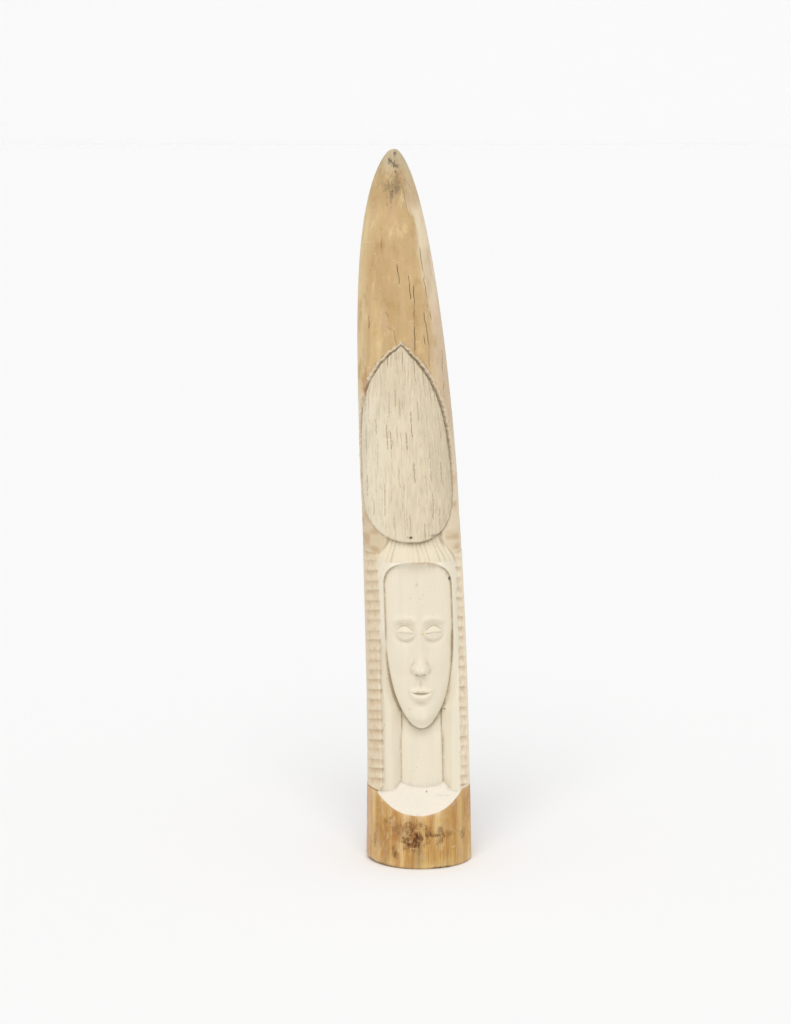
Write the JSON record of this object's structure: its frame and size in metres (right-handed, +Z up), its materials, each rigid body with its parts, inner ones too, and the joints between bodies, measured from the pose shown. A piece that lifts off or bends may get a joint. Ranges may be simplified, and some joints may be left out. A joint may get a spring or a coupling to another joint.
{
  "type": "carved ivory tusk section",
  "caption": "Upright tusk section with a sawn foot and a blunt tip, its front carved as a woman's head in a niche under a tall hairdo.",
  "frame": {"origin": "on the flat sawn underside, at the middle of the tusk's round foot", "axes": "+Z up along the tusk to its tip, -Y out of the carved front, +X to the right of someone who looks at the face"},
  "size_m": [0.0557, 0.0467, 0.345],
  "materials": {
    "ivory": "hand-polished ivory: honey-brown natural rind, cream where it is cut, with fine grain and drying cracks"
  },
  "bodies": {
    "root": {"carved_tusk": "ivory"}
  },
  "joints": []
}
